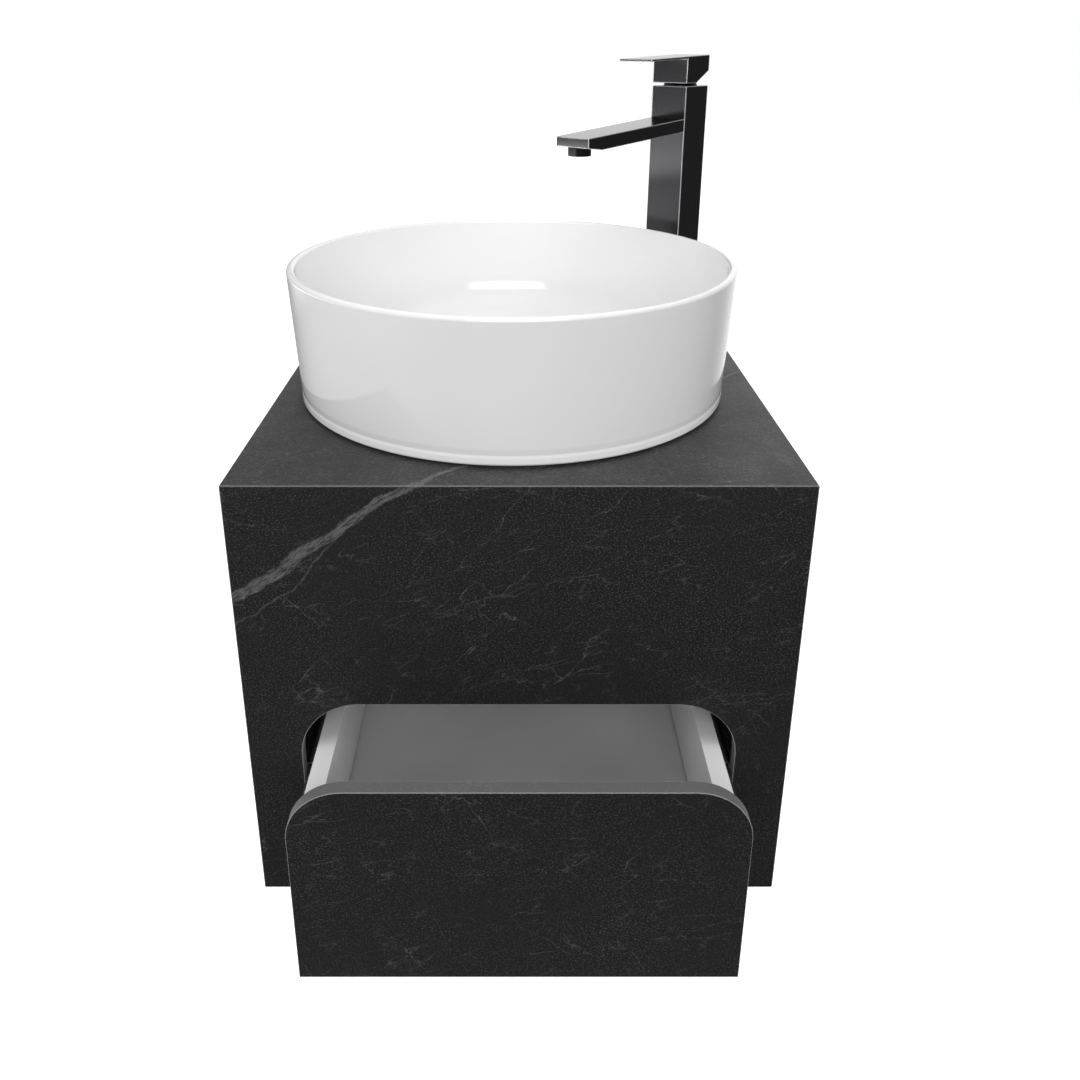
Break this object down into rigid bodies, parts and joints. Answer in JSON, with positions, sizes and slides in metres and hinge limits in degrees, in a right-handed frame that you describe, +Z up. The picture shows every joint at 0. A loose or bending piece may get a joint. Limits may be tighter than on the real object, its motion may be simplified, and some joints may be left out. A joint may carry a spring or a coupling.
{
  "type": "vessel sink on wall-hung vanity",
  "caption": "Round vessel basin on a wall-hung stone-board vanity with a tall square lever mixer, a bottle trap and a drawer that slides out under an arched front opening.",
  "frame": {"origin": "middle of the hanging rail's back face, on the wall plane and on the cabinet's centre line", "axes": "+Z up, +Y into the wall, so the vanity's front faces -Y; +X to the right as seen from the front"},
  "size_m": [0.45, 0.546, 0.6933],
  "materials": {
    "stone_board": "matt dark grey with fine pale specks and thin pale veins",
    "white_board": "satin white faced board",
    "plywood": "sanded, unfinished",
    "glazed_ceramic": "gloss white glaze",
    "gunmetal": "brushed dark grey coating",
    "zinc_steel": "zinc plated",
    "chrome": "polished",
    "brass": "machined",
    "rubber": "matt black",
    "white_plastic": "moulded",
    "black_plastic": "moulded"
  },
  "bodies": {
    "cabinet": {"counter_top": "stone_board", "front_panel": "stone_board", "right_side_panel": "stone_board", "left_side_panel": "stone_board", "bottom_panel": "stone_board", "hanging_rail": "plywood", "lower_back_rail": "plywood", "wall_hanger_left": "zinc_steel", "wall_hanger_right": "zinc_steel", "counter_bracket_left": "zinc_steel", "counter_bracket_right": "zinc_steel", "slide_packer_left": "plywood", "slide_packer_right": "plywood", "slide_outer_left": "zinc_steel", "slide_outer_right": "zinc_steel", "basin": "glazed_ceramic", "basin_seal_ring": "rubber", "waste_body": "chrome", "waste_upper_gasket": "rubber", "waste_lower_gasket": "rubber", "waste_lock_nut": "brass", "plug_guide": "brass", "tail_pipe": "chrome", "tail_nut": "chrome", "trap_head": "chrome", "trap_cup": "chrome", "outlet_nut": "chrome", "outlet_pipe": "chrome", "wall_rosette": "chrome", "mixer_body": "gunmetal", "mixer_spout": "gunmetal", "aerator_housing": "gunmetal", "aerator_insert": "black_plastic", "ceramic_cartridge": "white_plastic", "collar_nut": "gunmetal", "mixer_base_gasket": "rubber", "mixer_shank": "brass", "horseshoe_washer": "zinc_steel", "shank_nut": "brass", "hot_inlet_nipple": "brass", "cold_inlet_nipple": "brass"},
    "slide_middles": {"slide_middle_left": "zinc_steel", "slide_middle_right": "zinc_steel"},
    "drawer": {"drawer_front": "stone_board", "drawer_side_left": "white_board", "drawer_side_right": "white_board", "front_bracket_left": "zinc_steel", "front_bracket_right": "zinc_steel", "drawer_bottom": "white_board", "drawer_back": "white_board", "slide_inner_left": "zinc_steel", "slide_inner_right": "zinc_steel"},
    "plug": {"plug": "chrome"},
    "handle_swivel": {"cartridge_carrier": "black_plastic"},
    "handle": {"mixer_handle": "gunmetal", "cartridge_stem": "brass", "handle_set_screw": "zinc_steel"}
  },
  "joints": [
    {"name": "drawer_slide", "type": "slide", "parent": "cabinet", "child": "drawer", "axis": [0, -1, 0], "range_m": [-0.086, 0.264]},
    {"name": "slide_middle_travel", "type": "slide", "parent": "cabinet", "child": "slide_middles", "axis": [0, -1, 0], "range_m": [-0.043, 0.132]},
    {"name": "plug_lift", "type": "slide", "parent": "cabinet", "child": "plug", "axis": [0, 0, 1], "range_m": [0, 0.008]},
    {"name": "handle_turn", "type": "hinge", "parent": "cabinet", "child": "handle_swivel", "pos_m": [0.1725, -0.047, 0.3163], "axis": [0, 0, 1], "range_deg": [-45, 45]},
    {"name": "handle_lift", "type": "hinge", "parent": "handle_swivel", "child": "handle", "pos_m": [0.1725, -0.047, 0.3163], "axis": [-0.7431, 0.6691, 0], "range_deg": [0, 25]}
  ],
  "couplings": [
    {"joint": "slide_middle_travel", "follows": "drawer_slide", "ratio": 0.5}
  ]
}
